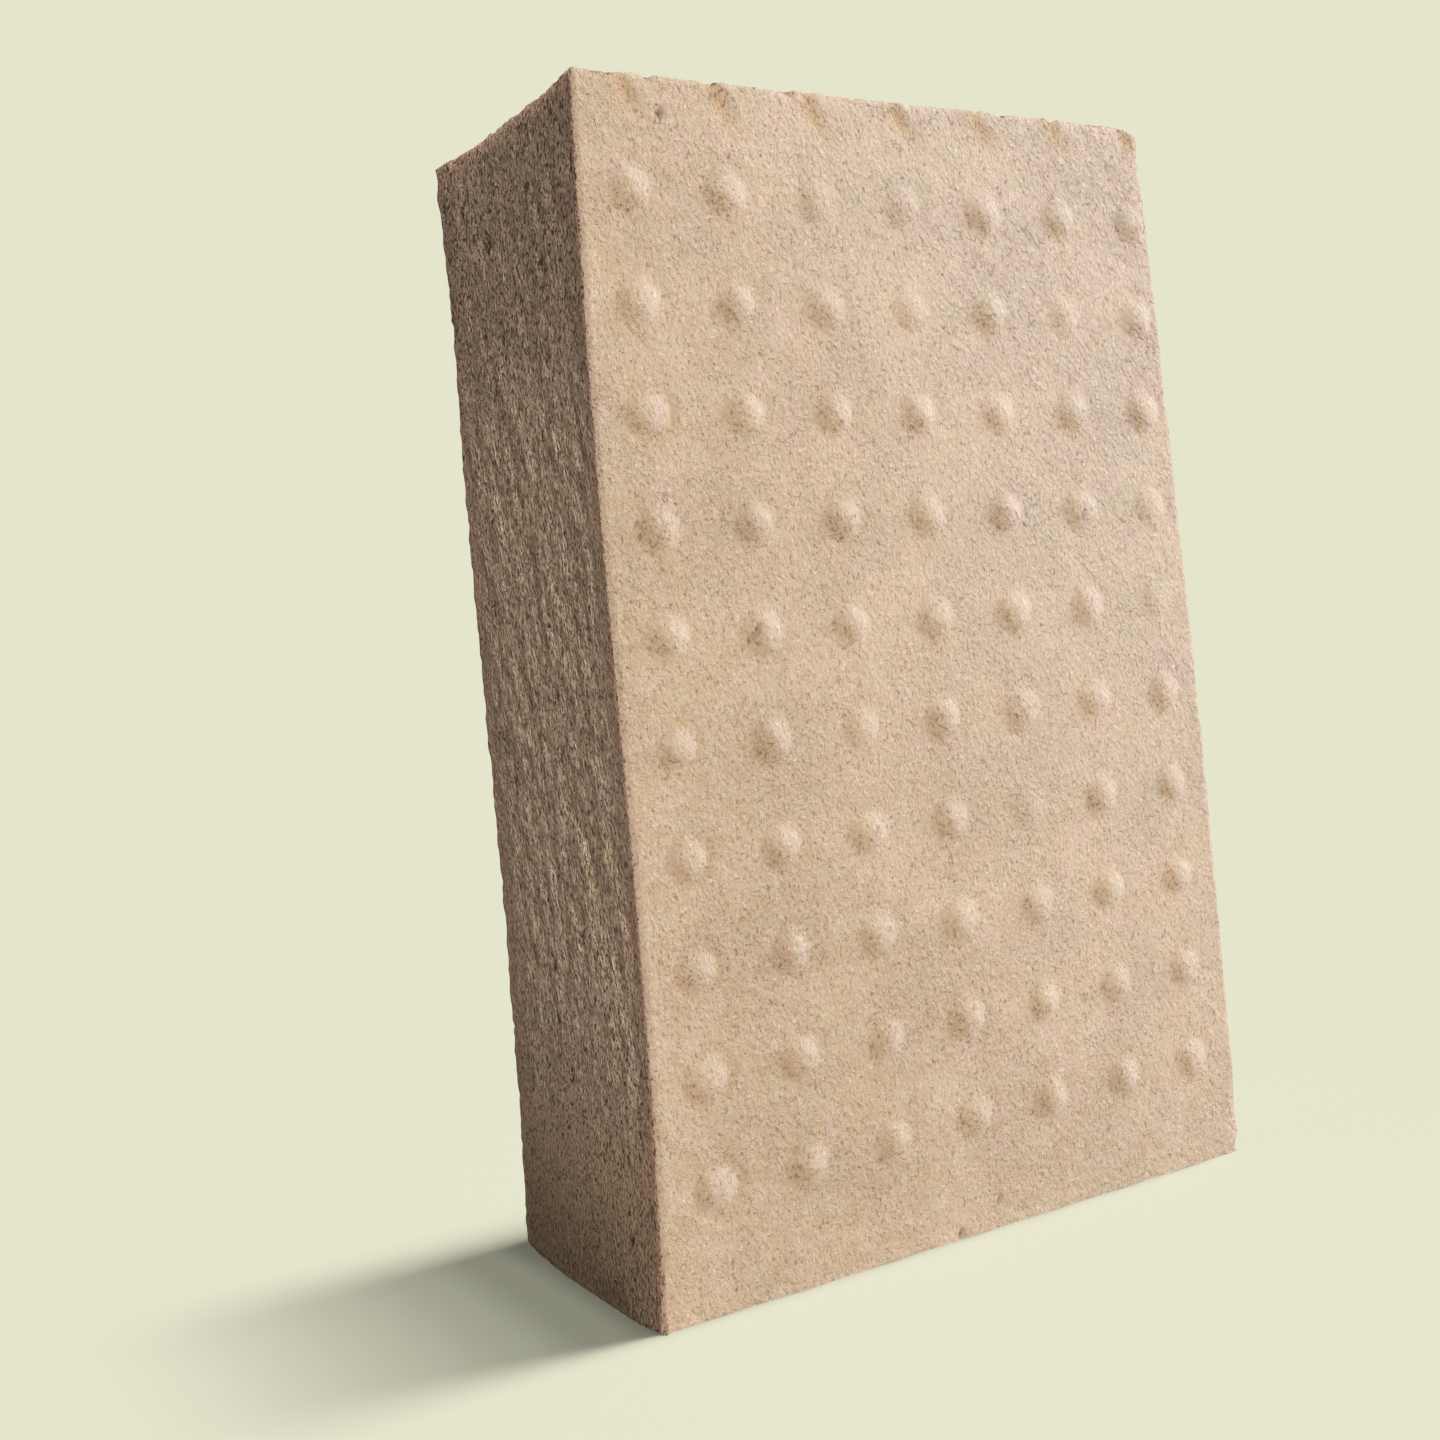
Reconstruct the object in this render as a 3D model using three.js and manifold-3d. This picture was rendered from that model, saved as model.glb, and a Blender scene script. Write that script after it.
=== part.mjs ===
// A pressed block of firm tofu, standing on its short end.
//
// Millimetres, +Z up. The origin is the middle of the bottom. The broad pressed faces look
// to -Y and +Y, and carry the bumps that the holes of a press plate left in the curd. The
// narrow sides look to -X and +X. The top is a cut, straight through the first row of bumps.

import * as THREE from "three";
import { mergeVertices } from "three/addons/utils/BufferGeometryUtils.js";
import Module from "manifold-3d";

// Driving dimensions of the block.
const blockHeight = 111.8;
const baseWidth = 72.6;
const blockDepth = 31;            // from one pressed face to the other, without the bumps
const leftLean = 1.5;             // how far the left side comes in on its way up
const rightLean = 4.5;
const leftWave = 0.35;            // slow wander of the left side
const rightBow = 0.7;             // how far the right side bows out at half height
const baseSwell = 1.1;            // how far both sides swell at half depth, at the very bottom
const edgeRound = 0.7;            // worn edges around the pressed faces
const leftBaseCorner = 1.2;
const rightBaseCorner = 2.6;
const rightTopCorner = 1.8;

// Driving dimensions of the bumps.
const pitch = 10;                 // spacing of the press plate's holes, both ways
const columnCount = 7;
const rowCount = 11;              // the top cut runs through the first row
const firstRowDrop = 0.15;        // from the cut down to the middle of the first row
const columnShift = 0.1;          // the middle column stands this far to the right
const bumpRadius = 1.95;
const bumpHeight = 0.65;
const radiusSpread = 0.07;        // shares by which radius and height vary from bump to bump
const heightSpread = 0.16;

// Bumps that hardly rose, as [row, column, share of the full height].
const faintBumps = [
  [1, 2, 0.55],
  [1, 3, 0.65],
  [2, 3, 0.6],
  [2, 5, 0.6],
  [4, 6, 0.6],
  [5, 6, 0.5],
  [6, 2, 0.7],
  [7, 4, 0.4],
];

// How finely the curves are cut into flats.
const sideSteps = 14;
const depthSteps = 6;
const roundSteps = 3;
const bumpSides = 8;

const curd = new THREE.MeshStandardMaterial({
  color: new THREE.Color().setRGB(0.827, 0.729, 0.62, THREE.SRGBColorSpace),
  roughness: 0.85,
  metalness: 0,
});

const wasm = await Module();
wasm.setup();

function solidFrom(geometry) {
  const shape = geometry.clone();
  shape.deleteAttribute("normal");
  shape.deleteAttribute("uv");
  const merged = mergeVertices(shape, 1e-5);
  const vertProperties = Float32Array.from(merged.attributes.position.array);
  const triVerts = Uint32Array.from(merged.index.array);
  return new wasm.Manifold(new wasm.Mesh({ numProp: 3, vertProperties, triVerts }));
}

function geometryFrom(solid) {
  const { vertProperties, triVerts } = solid.getMesh();
  const geometry = new THREE.BufferGeometry();
  geometry.setAttribute("position", new THREE.BufferAttribute(vertProperties, 3));
  geometry.setIndex(new THREE.BufferAttribute(triVerts, 1));
  geometry.computeVertexNormals();
  return geometry;
}

// The left and right outline of the block at a height z.
function leftSide(z) {
  const rise = z / blockHeight;
  return -baseWidth / 2 + leftLean * rise + leftWave * Math.sin(2 * Math.PI * rise);
}

function rightSide(z) {
  const rise = z / blockHeight;
  return baseWidth / 2 - rightLean * rise + rightBow * Math.sin(Math.PI * rise);
}

// The front outline, drawn up past the top so that the cut can be made straight. The worn
// corner on the right narrows what stands above the cut.
function frontOutline() {
  const rawTop = blockHeight + pitch / 2;
  const heights = Array.from({ length: sideSteps + 1 }, (_, step) => (rawTop * step) / sideSteps);
  const [, ...aboveBase] = heights;
  const cornerStart = blockHeight - rightTopCorner;
  const neck = rightSide(blockHeight) - rightTopCorner;
  const outline = new THREE.Shape();
  outline.moveTo(leftSide(0) + leftBaseCorner, 0);
  outline.lineTo(rightSide(0) - rightBaseCorner, 0);
  outline.quadraticCurveTo(rightSide(0), 0, rightSide(rightBaseCorner), rightBaseCorner);
  for (const z of aboveBase.filter((height) => height < cornerStart)) {
    outline.lineTo(rightSide(z), z);
  }
  outline.lineTo(rightSide(cornerStart), cornerStart);
  outline.quadraticCurveTo(rightSide(blockHeight), blockHeight, neck, blockHeight);
  outline.lineTo(neck, rawTop);
  for (const z of aboveBase.reverse()) {
    outline.lineTo(leftSide(z), z);
  }
  outline.lineTo(leftSide(leftBaseCorner), leftBaseCorner);
  outline.quadraticCurveTo(leftSide(0), 0, leftSide(0) + leftBaseCorner, 0);
  return outline;
}

// The block without its bumps: the front outline carried through the depth with worn edges,
// and swollen sideways at half depth, most at the bottom and not at all at the top.
function rawBlock() {
  const geometry = new THREE.ExtrudeGeometry(frontOutline(), {
    depth: blockDepth - 2 * edgeRound,
    steps: depthSteps,
    curveSegments: roundSteps,
    bevelEnabled: true,
    bevelThickness: edgeRound,
    bevelSize: edgeRound,
    bevelOffset: -edgeRound,
    bevelSegments: roundSteps,
  });
  geometry.translate(0, 0, edgeRound - blockDepth / 2);
  geometry.rotateX(Math.PI / 2);
  const points = geometry.attributes.position;
  for (let index = 0; index < points.count; index += 1) {
    const x = points.getX(index);
    const acrossDepth = points.getY(index) / (blockDepth / 2);
    const aboveBase = Math.min(points.getZ(index) / blockHeight, 1);
    const swell = baseSwell * (1 - acrossDepth ** 2) * (1 - aboveBase) ** 2;
    points.setX(index, x + (swell * x) / (baseWidth / 2));
  }
  return solidFrom(geometry);
}

// Everything above the top cut.
function spaceAboveCut() {
  const spare = 4 * blockDepth;
  const box = new THREE.BoxGeometry(spare, spare, spare);
  box.translate(0, 0, blockHeight + spare / 2);
  return solidFrom(box);
}

// A fixed pattern of numbers from -1 to 1 that makes no two bumps quite alike.
function unevenness(row, column, phase) {
  return Math.sin(2.3 * row + 4.1 * column + phase) * Math.cos(1.7 * row - 2.9 * column + 2 * phase);
}

// One bump, a soft dome with a slanted foot, rising along +Y from a flat face at y = 0.
function bumpGeometry(radius, height) {
  const sunk = 1;
  const profile = [
    new THREE.Vector2(0, -sunk),
    new THREE.Vector2(1.04 * radius, -sunk),
    new THREE.Vector2(radius, 0),
    new THREE.Vector2(0.8 * radius, 0.5 * height),
    new THREE.Vector2(0.45 * radius, 0.88 * height),
    new THREE.Vector2(0, height),
  ];
  return new THREE.LatheGeometry(profile, bumpSides);
}

// The bumps of one pressed face; facing is -1 for the front and 1 for the back. The last one
// of the first row wore away with the corner.
function pressedBumps(facing) {
  const bumps = [];
  for (let row = 0; row < rowCount; row += 1) {
    const standing = row === 0 ? columnCount - 1 : columnCount;
    for (let column = 0; column < standing; column += 1) {
      const faint = faintBumps.find(([r, c]) => facing < 0 && r === row && c === column);
      const share = faint ? faint[2] : 1 - heightSpread * (0.5 + 0.5 * unevenness(row, column, facing));
      const radius = bumpRadius * (1 + radiusSpread * unevenness(column, row, facing));
      const geometry = bumpGeometry(radius, bumpHeight * share);
      if (facing < 0) {
        geometry.rotateX(Math.PI);
      }
      const x = (column - (columnCount - 1) / 2) * pitch + columnShift;
      const z = blockHeight - firstRowDrop - row * pitch;
      geometry.translate(x, (facing * blockDepth) / 2, z);
      bumps.push(solidFrom(geometry));
    }
  }
  return bumps;
}

const tofu = wasm.Manifold.union([rawBlock(), ...pressedBumps(-1), ...pressedBumps(1)])
  .subtract(spaceAboveCut());

const block = new THREE.Mesh(geometryFrom(tofu), curd);
block.name = "tofu_block";

const model = new THREE.Group();
model.add(block);

export default model;
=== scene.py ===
import math

import bpy
import numpy as np
from mathutils import Matrix, Vector


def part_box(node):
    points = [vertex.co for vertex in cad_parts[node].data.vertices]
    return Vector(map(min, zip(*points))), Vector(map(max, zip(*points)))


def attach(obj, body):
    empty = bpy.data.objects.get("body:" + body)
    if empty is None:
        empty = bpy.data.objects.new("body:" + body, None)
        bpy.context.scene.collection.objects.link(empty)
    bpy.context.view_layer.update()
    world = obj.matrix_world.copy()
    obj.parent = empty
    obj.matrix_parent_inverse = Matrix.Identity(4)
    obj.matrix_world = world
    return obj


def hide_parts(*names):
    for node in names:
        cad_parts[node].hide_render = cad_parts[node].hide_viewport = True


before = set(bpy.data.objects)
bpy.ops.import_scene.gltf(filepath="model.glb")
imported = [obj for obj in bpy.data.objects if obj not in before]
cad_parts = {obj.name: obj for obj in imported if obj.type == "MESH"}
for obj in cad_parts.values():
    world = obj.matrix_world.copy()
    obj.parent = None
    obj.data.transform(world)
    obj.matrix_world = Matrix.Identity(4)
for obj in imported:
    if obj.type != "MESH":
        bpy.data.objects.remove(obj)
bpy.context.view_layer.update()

bl_info = {
    "name": "Pressed Tofu Block",
    "version": (1, 0, 0),
    "blender": (4, 5, 0),
    "location": "3D View > Sidebar > Tofu",
    "description": "Makes a pressed block of firm tofu on a plain studio floor",
    "category": "Add Mesh",
}

BLOCK_NODE = "tofu_block"

# The shape is worked out in millimetres, and put into the mesh in metres. The spacing of
# the grid lines is summed up over this many steps.
MM = 0.001
FINE_STEPS = 4000
LOW, HIGH = (np.array(corner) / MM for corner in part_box(BLOCK_NODE))
HEIGHT = HIGH[2] - LOW[2]

# The same driving dimensions as the solid block has, in millimetres.
BUMP_HEIGHT = 0.65
BASE_SWELL = 1.1
LEFT_LEAN = 1.5
RIGHT_LEAN = 4.5
LEFT_WAVE = 0.35
RIGHT_BOW = 0.7
DEPTH = 31.0
BASE_WIDTH = 72.6

PITCH = 10.0
COLUMNS = 7
ROWS = 11
FIRST_ROW_DROP = 0.15
COLUMN_SHIFT = 0.1
MIDDLE_COLUMN = (COLUMNS - 1) / 2

# Rounded corners of the outline, as (side, height, radius in front, radius further back).
CORNERS = (
    (1, 0, 2.6, 2.6),
    (-1, 0, 0.3, 0.3),
    (1, HEIGHT, 1.8, 1.8),
    (-1, HEIGHT, 0.4, 0.4),
)

# How far the crumbled lip of the left top edge reaches in and down, the power that makes
# its corner nearly a flat bevel, and how far the corners at its far end and at the near
# foot flare out.
LIP_DEPTH = 0.35
LIP_HEIGHT = 1.8
LIP_POWER = 1.3
FAR_FLARE = 0.6
FOOT_FLARE = 0.6

# A face's finish starts where the outward direction has the first of these shares along
# the face's own axis, and is full at the second.
FACE_TURN = (0.35, 0.9)

# Depth of the single holes, and how far the notches along an edge and the russet rims of
# the cut sides reach in from it.
HOLE_DEPTH = 0.8
NOTCH_REACH = 0.9
RUSSET_REACH = 1.6

# How torn a narrow side still is at its foot, at the top and along its upright edges.
TORN_AT_FOOT = 0.16
TORN_AT_TOP = 0.55
TORN_AT_EDGE = 0.25

# Rows in which the bump of the first column came out wide and low.
WIDE_ROWS = (3, 6, 7, 8, 9, 10)

# How a full bump and a wide one differ: the share of the radius, the power of the crown,
# the shares of the height and of the moat, how far the pale skin with its painted highlight
# starts from the middle, its share, and the place and the width of the stain at the foot,
# which also paints shade on the side away from the light.
RADIUS_SHARE = (1.0, 0.97)
CROWN_POWER = (0.8, 0.65)
CROWN_SHARE = (0.74, 0.48)
MOAT_SHARE = (0.4, 1.0)
PALE_HIGHLIGHT_START = (0.45, 0.7)
PALE_HIGHLIGHT_SHARE = (1.0, 0.65)
STAIN_AND_SHADE_PLACE = (0.68, 0.9)
STAIN_AND_SHADE_WIDTH = (0.48, 0.4)

# Radius of the moat's middle, in bump radii, and the width of its wall.
MOAT_RADIUS = 1.15
MOAT_WIDTH = 0.2

# The half bumps at the top edge keep this share of the height, and the curd beside them is
# pressed in this deep.
HALF_SHARE = 0.4
DENT_DEPTH = 0.25

# How much the bumps vary in height and in radius, and how far their outlines wander.
HEIGHT_SPREAD = 0.16
RADIUS_SPREAD = 0.07
OUTLINE_WANDER = 0.2

# Bumps that hardly rose on the front, as (row, column, share of the full height).
FAINT_BUMPS = (
    (1, 2, 0.55),
    (1, 3, 0.65),
    (2, 3, 0.6),
    (2, 5, 0.6),
    (4, 6, 0.6),
    (5, 6, 0.5),
    (6, 2, 0.7),
    (7, 4, 0.4),
)

# The torn streaks of the narrow sides lean back by this much for each millimetre upwards,
# and the creases of the pressed faces fall to the right at this angle.
STREAK_SLANT = 0.25
CREASE_FALL = 0.95

# Single holes: on the front as (x, z, radius), and on the left side as (y, z, radius).
FRONT_HOLES = (
    (-26.3, 108.3, 0.45),
    (-21.4, 61.3, 0.28),
    (-20.9, 61.9, 0.22),
    (19.9, 72.0, 0.25),
    (20.3, 71.2, 0.2),
    (-22.9, 55.1, 0.2),
    (-23.0, 51.5, 0.2),
    (-3.0, 0.5, 0.4),
    (2.2, 2.6, 0.22),
    (-3.4, 8.0, 0.18),
)
LEFT_HOLES = (
    (4.8, 101.2, 0.6),
    (7.2, 92.5, 0.5),
    (-4.5, 104.0, 0.5),
    (4.1, 77.7, 0.5),
    (-3.0, 57.0, 0.45),
    (2.6, 31.0, 0.5),
    (-7.0, 97.0, 0.45),
    (9.0, 48.5, 0.45),
)

# How far the curd's roughness varies to both sides of its mean.
ROUGHNESS_SPREAD = 0.08

# The long light over the floor: a row of lights from overhead down to the right, as far as
# the end slope, each one wider than the last. It gives this share of the floor's light, and
# an even light the rest.
STRIP_AZIMUTH = 97
STRIP_END_SLOPE = 0.385
STRIP_COUNT = 6
STRIP_WIDTHS = (2.0, 7.0)
STRIP_SHARE = 0.83

# The lights on the block, as (name, azimuth, elevation, how wide it looks) in degrees.
BLOCK_LIGHTS = (
    ("side_light", 100, 17, 25),
    ("front_light", 191, 8, 30),
    ("top_light", 280, 86, 24),
    ("back_light", 15, 25, 30),
)

# Width of the camera's sensor, in millimetres.
SENSOR_WIDTH = 36


# ---------------------------------------------------------------------------
# Settings that a user would change
# ---------------------------------------------------------------------------


class TofuShape(bpy.types.PropertyGroup):
    """Sizes of the block's visible surface."""

    line_spacing: bpy.props.FloatVectorProperty(
        name="Line spacing",
        description="Distance between the surface's grid lines along X, Y and Z",
        default=(0.42 * MM, 0.5 * MM, 0.66 * MM), size=3, subtype="XYZ", unit="LENGTH")
    edge_radius: bpy.props.FloatProperty(
        name="Edge radius",
        description="Rounding of the worn edges around the pressed faces",
        default=0.5 * MM, unit="LENGTH")
    cut_edge_radius: bpy.props.FloatProperty(
        name="Cut edge radius",
        description="Rounding of the sharper edges around the top cut",
        default=0.2 * MM, unit="LENGTH")
    bump_radius: bpy.props.FloatProperty(
        name="Bump radius",
        description="Radius of a bump at its foot",
        default=2.03 * MM, unit="LENGTH")
    bump_height: bpy.props.FloatProperty(
        name="Bump height",
        description="Height of a full bump over the pressed face",
        default=BUMP_HEIGHT * MM, unit="LENGTH")
    moat_depth: bpy.props.FloatProperty(
        name="Moat depth",
        description="Depth of the shallow ring around a wide bump; a full one has less",
        default=0.2 * MM, unit="LENGTH")
    crease_depth: bpy.props.FloatProperty(
        name="Crease depth",
        description="Depth of the slanting creases of the pressed faces",
        default=0.22 * MM, unit="LENGTH")
    crumb_depth: bpy.props.FloatProperty(
        name="Crumb depth",
        description="Depth of the notches where crumbs broke away along the cut edges",
        default=0.5 * MM, unit="LENGTH")
    streak_depth: bpy.props.FloatProperty(
        name="Streak depth",
        description="Depth of the torn streaks on the narrow sides",
        default=0.35 * MM, unit="LENGTH")


class TofuFinish(bpy.types.PropertyGroup):
    """Colours and surface of the curd."""

    beige: bpy.props.FloatVectorProperty(
        name="Beige", description="Main colour of the pressed faces",
        subtype="COLOR", size=3, min=0, max=1, default=(0.68, 0.514, 0.364))
    # Straw also paints shade: the tone grows yellower and darker towards the foot and the left.
    straw: bpy.props.FloatVectorProperty(
        name="Straw", description="Yellower patches, towards the foot and the left",
        subtype="COLOR", size=3, min=0, max=1, default=(0.565, 0.405, 0.252))
    # Blush also paints light: the tone grows paler and pinker towards the upper right.
    blush: bpy.props.FloatVectorProperty(
        name="Blush", description="Paler and pinker patches",
        subtype="COLOR", size=3, min=0, max=1, default=(0.738, 0.59, 0.472))
    pink: bpy.props.FloatVectorProperty(
        name="Pink", description="Pinker half of the fine mottling",
        subtype="COLOR", size=3, min=0, max=1, default=(0.72, 0.52, 0.42))
    sage: bpy.props.FloatVectorProperty(
        name="Sage", description="Greener half of the fine mottling",
        subtype="COLOR", size=3, min=0, max=1, default=(0.66, 0.55, 0.385))
    # Laid on the side of each bump that faces the light, as a painted highlight.
    crown: bpy.props.FloatVectorProperty(
        name="Crown", description="Smooth pale skin on the bumps",
        subtype="COLOR", size=3, min=0, max=1, default=(0.65, 0.545, 0.45))
    # Caramel stain, laid mostly on the side of each bump away from the light and in the creases, so
    # it is also painted shade.
    stain: bpy.props.FloatVectorProperty(
        name="Stain", description="Caramel stain at the foot of the bumps",
        subtype="COLOR", size=3, min=0, max=1, default=(0.62, 0.405, 0.215))
    # Browner curd, and painted shade next to the floor, at the foot of the cut sides.
    foot_brown_and_painted_shade: bpy.props.FloatVectorProperty(
        name="Foot tone", description="Browner curd at the foot of the cut sides",
        subtype="COLOR", size=3, min=0, max=1, default=(0.63, 0.41, 0.205))
    torn_tone: bpy.props.FloatVectorProperty(
        name="Torn tone", description="Mean colour of the torn part of the cut sides",
        subtype="COLOR", size=3, min=0, max=1, default=(0.80, 0.55, 0.341))
    worn_tone: bpy.props.FloatVectorProperty(
        name="Worn tone", description="Mean colour of the smoother part of the cut sides",
        subtype="COLOR", size=3, min=0, max=1, default=(0.53, 0.355, 0.22))
    russet: bpy.props.FloatVectorProperty(
        name="Russet", description="Reddish rims of the cut sides",
        subtype="COLOR", size=3, min=0, max=1, default=(0.64, 0.355, 0.23))
    # A lighter, oranger band along the top edges of the cut sides: a painted glow of light.
    dried: bpy.props.FloatVectorProperty(
        name="Dried", description="Dried brown curd along the top edges of the cut sides",
        subtype="COLOR", size=3, min=0, max=1, default=(0.74, 0.45, 0.26))
    # The darkest colour: painted shade in pits, cracks, gaps and holes, and low on the cut sides.
    painted_deep_shade: bpy.props.FloatVectorProperty(
        name="Pit", description="Dark bottoms of pits and cracks",
        subtype="COLOR", size=3, min=0, max=1, default=(0.14, 0.09, 0.05))
    roughness: bpy.props.FloatProperty(
        name="Roughness", description="Mean roughness of the damp curd",
        subtype="FACTOR", min=0, max=1, default=0.72)
    grain: bpy.props.FloatProperty(
        name="Grain", description="Depth of the finest grain on the pressed faces",
        default=0.45 * MM, unit="LENGTH")
    side_grain: bpy.props.FloatProperty(
        name="Side grain", description="Depth of the finest streaks on the cut sides",
        default=1.3 * MM, unit="LENGTH")


class TofuStage(bpy.types.PropertyGroup):
    """Floor, lights and camera."""

    backdrop: bpy.props.FloatVectorProperty(
        name="Backdrop", description="Colour that the lit floor and the background show",
        subtype="COLOR", size=3, min=0, max=1, default=(0.783, 0.783, 0.604))
    bounce: bpy.props.FloatVectorProperty(
        name="Bounce", description="Light that the floor throws back at the block",
        subtype="COLOR", size=3, min=0, max=1, default=(0.195, 0.165, 0.14))
    floor_size: bpy.props.FloatProperty(
        name="Floor size", description="Width of the square floor",
        default=40.0, unit="LENGTH")
    floor_light: bpy.props.FloatProperty(
        name="Floor light", description="Light that falls on each part of the floor",
        default=20.0)
    side_light: bpy.props.FloatProperty(
        name="Side light", description="Strength of the grazing light from the right",
        default=3.0)
    front_light: bpy.props.FloatProperty(
        name="Front light", description="Strength of the low wide light from the front",
        default=3.14)
    top_light: bpy.props.FloatProperty(
        name="Top light", description="Strength of the light from overhead",
        default=1.3)
    back_light: bpy.props.FloatProperty(
        name="Back light", description="Strength of the light on the back",
        default=1.9)
    ambient: bpy.props.FloatProperty(
        name="Ambient", description="Strength of the even light from all around",
        default=0.06)
    camera_place: bpy.props.FloatVectorProperty(
        name="Camera place", description="Where the camera stands",
        subtype="TRANSLATION", size=3, default=(-101.7 * MM, -146.4 * MM, 60.5 * MM))
    camera_azimuth: bpy.props.FloatProperty(
        name="Camera azimuth", description="Direction of view, from +Y towards +X",
        subtype="ANGLE", default=math.radians(30.2))
    camera_elevation: bpy.props.FloatProperty(
        name="Camera elevation", description="Upward tilt of the view",
        subtype="ANGLE", default=math.radians(-2.5))
    camera_roll: bpy.props.FloatProperty(
        name="Camera roll", description="Clockwise turn of the camera about its view",
        subtype="ANGLE", default=math.radians(4.94))
    lens: bpy.props.FloatProperty(
        name="Lens", description="Focal length on a sensor 36 mm wide, in millimetres",
        default=41.67)


# ---------------------------------------------------------------------------
# Grids and noise
# ---------------------------------------------------------------------------


def smooth_step(values, low, high):
    """An S-curve from 0 at low to 1 at high."""
    share = np.clip((values - low) / (high - low), 0, 1)
    return share * share * (3 - 2 * share)


def nearness(distance, start, full):
    """An S-curve from 0 at the start distance to 1 at the full distance and nearer."""
    return smooth_step(-distance, -start, -full)


def lattice_noise(points, cell, seed):
    """Smooth noise from -1 to 1: random values on a lattice of the given cell size, blended
    across each cell by an S-curve. The cell is one size, or one for each axis."""
    scaled = points / cell
    corner = np.floor(scaled).astype(int)
    share = scaled - corner
    share = share * share * (3 - 2 * share)
    corner -= corner.min(axis=0)
    values = np.random.default_rng(seed).uniform(-1, 1, corner.max(axis=0) + 2)
    total = np.zeros(len(points))
    for step in np.ndindex(2, 2, 2):
        weight = np.prod(np.where(step, share, 1 - share), axis=1)
        total += weight * values[tuple((corner + step).T)]
    return total


def layered_noise(points, cell, seed, layers=3, fade=0.5):
    """Lattice noise with finer layers on top, each of half the cell and a fading share."""
    cell = np.asarray(cell, float)
    shares = fade ** np.arange(layers)
    noise = [lattice_noise(points, cell / 2 ** layer, seed + layer) for layer in range(layers)]
    return np.tensordot(shares, noise, axes=1) / shares.sum()


def grid_lines(length, spacing, edge_zone=1.5):
    """Places of grid lines from 0 to length: evenly spaced in the middle, and twice as dense
    at both ends, where the density falls off over the edge zone."""
    fine = np.linspace(0, length, FINE_STEPS + 1)
    density = (1 + np.exp(-fine / edge_zone) + np.exp(-(length - fine) / edge_zone)) / spacing
    strips = (density[1:] + density[:-1]) / 2 * np.diff(fine)
    count = np.concatenate([[0], np.cumsum(strips)])
    return np.interp(np.linspace(0, count[-1], round(count[-1]) + 1), count, fine)


def wrapped_box(across, deep, up):
    """Points and quads of a box surface on the given grid lines: a tube of rings round the
    four sides, closed by a grid on top. Its first ring is left open for the flat base."""
    n_across, n_deep, n_up = len(across) - 1, len(deep) - 1, len(up) - 1
    ring_x = np.concatenate([across[:-1], np.full(n_deep, across[-1]),
                             across[:0:-1], np.full(n_deep, across[0])])
    ring_y = np.concatenate([np.full(n_across, deep[0]), deep[:-1],
                             np.full(n_across, deep[-1]), deep[:0:-1]])
    ring_count = len(ring_x)
    tube = np.stack([np.tile(ring_x, n_up + 1), np.tile(ring_y, n_up + 1),
                     np.repeat(up, ring_count)], axis=1)
    inner_x, inner_y = np.meshgrid(across[1:-1], deep[1:-1], indexing="ij")
    above = np.stack([inner_x.ravel(), inner_y.ravel(), np.full(inner_x.size, up[-1])], axis=1)
    points = np.concatenate([tube, above])

    start = np.arange(n_up)[:, None] * ring_count
    here = np.arange(ring_count)[None, :]
    ahead = (here + 1) % ring_count
    sides = np.stack([start + here, start + ahead, start + ring_count + ahead,
                      start + ring_count + here], axis=-1).reshape(-1, 4)

    ring_start = n_up * ring_count
    grid = np.empty((n_across + 1, n_deep + 1), int)
    grid[1:-1, 1:-1] = len(tube) + np.arange(len(above)).reshape(n_across - 1, n_deep - 1)
    grid[:, 0] = ring_start + np.arange(n_across + 1)
    grid[-1, :] = ring_start + n_across + np.arange(n_deep + 1)
    grid[:, -1] = ring_start + 2 * n_across + n_deep - np.arange(n_across + 1)
    grid[0, 1:] = ring_start + ring_count - np.arange(1, n_deep + 1)
    top = np.stack([grid[:-1, :-1], grid[1:, :-1], grid[1:, 1:], grid[:-1, 1:]], axis=-1)
    return points, np.concatenate([sides, top.reshape(-1, 4)]), ring_count


def point_normals(points, quads):
    """Each point's outward direction: the sum of the area vectors of the quads around it,
    an area vector being half the cross product of a quad's diagonals."""
    corners = points[quads]
    area = np.cross(corners[:, 2] - corners[:, 0], corners[:, 3] - corners[:, 1])
    flat = quads.ravel()
    total = [np.bincount(flat, np.repeat(area[:, axis], 4), len(points)) for axis in range(3)]
    normals = np.stack(total, axis=1)
    return normals / np.linalg.norm(normals, axis=1, keepdims=True)


def based_mesh(name, points, quads, base=()):
    """A smooth-shaded mesh object of the points, given in millimetres. The base is a flat
    face with many corners and sharp edges, given as point numbers in order."""
    mesh = bpy.data.meshes.new(name)
    faces = quads.tolist()
    if len(base):
        faces.append(list(base))
    mesh.from_pydata(points * MM, [], faces)
    mesh.polygons.foreach_set("use_smooth", np.arange(len(faces)) < len(quads))
    ends = np.empty(2 * len(mesh.edges), int)
    mesh.edges.foreach_get("vertices", ends)
    on_base = np.isin(ends, list(base)).reshape(-1, 2).all(axis=1)
    mesh.edges.foreach_set("use_edge_sharp", on_base)
    mesh.update()
    piece = bpy.data.objects.new(name, mesh)
    bpy.context.scene.collection.objects.link(piece)
    return piece


def point_attribute(piece, name, values):
    """Stores one number for each point, for the material to read."""
    attribute = piece.data.attributes.new(name, "FLOAT", "POINT")
    attribute.data.foreach_set("value", np.asarray(values, np.float32))


# ---------------------------------------------------------------------------
# The block's form, in millimetres
# ---------------------------------------------------------------------------


def left_side(z):
    """Outline on the left: it leans in towards the top and wanders by one slow wave."""
    rise = z / HEIGHT
    return -BASE_WIDTH / 2 + LEFT_LEAN * rise + LEFT_WAVE * np.sin(2 * np.pi * rise)


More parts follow.
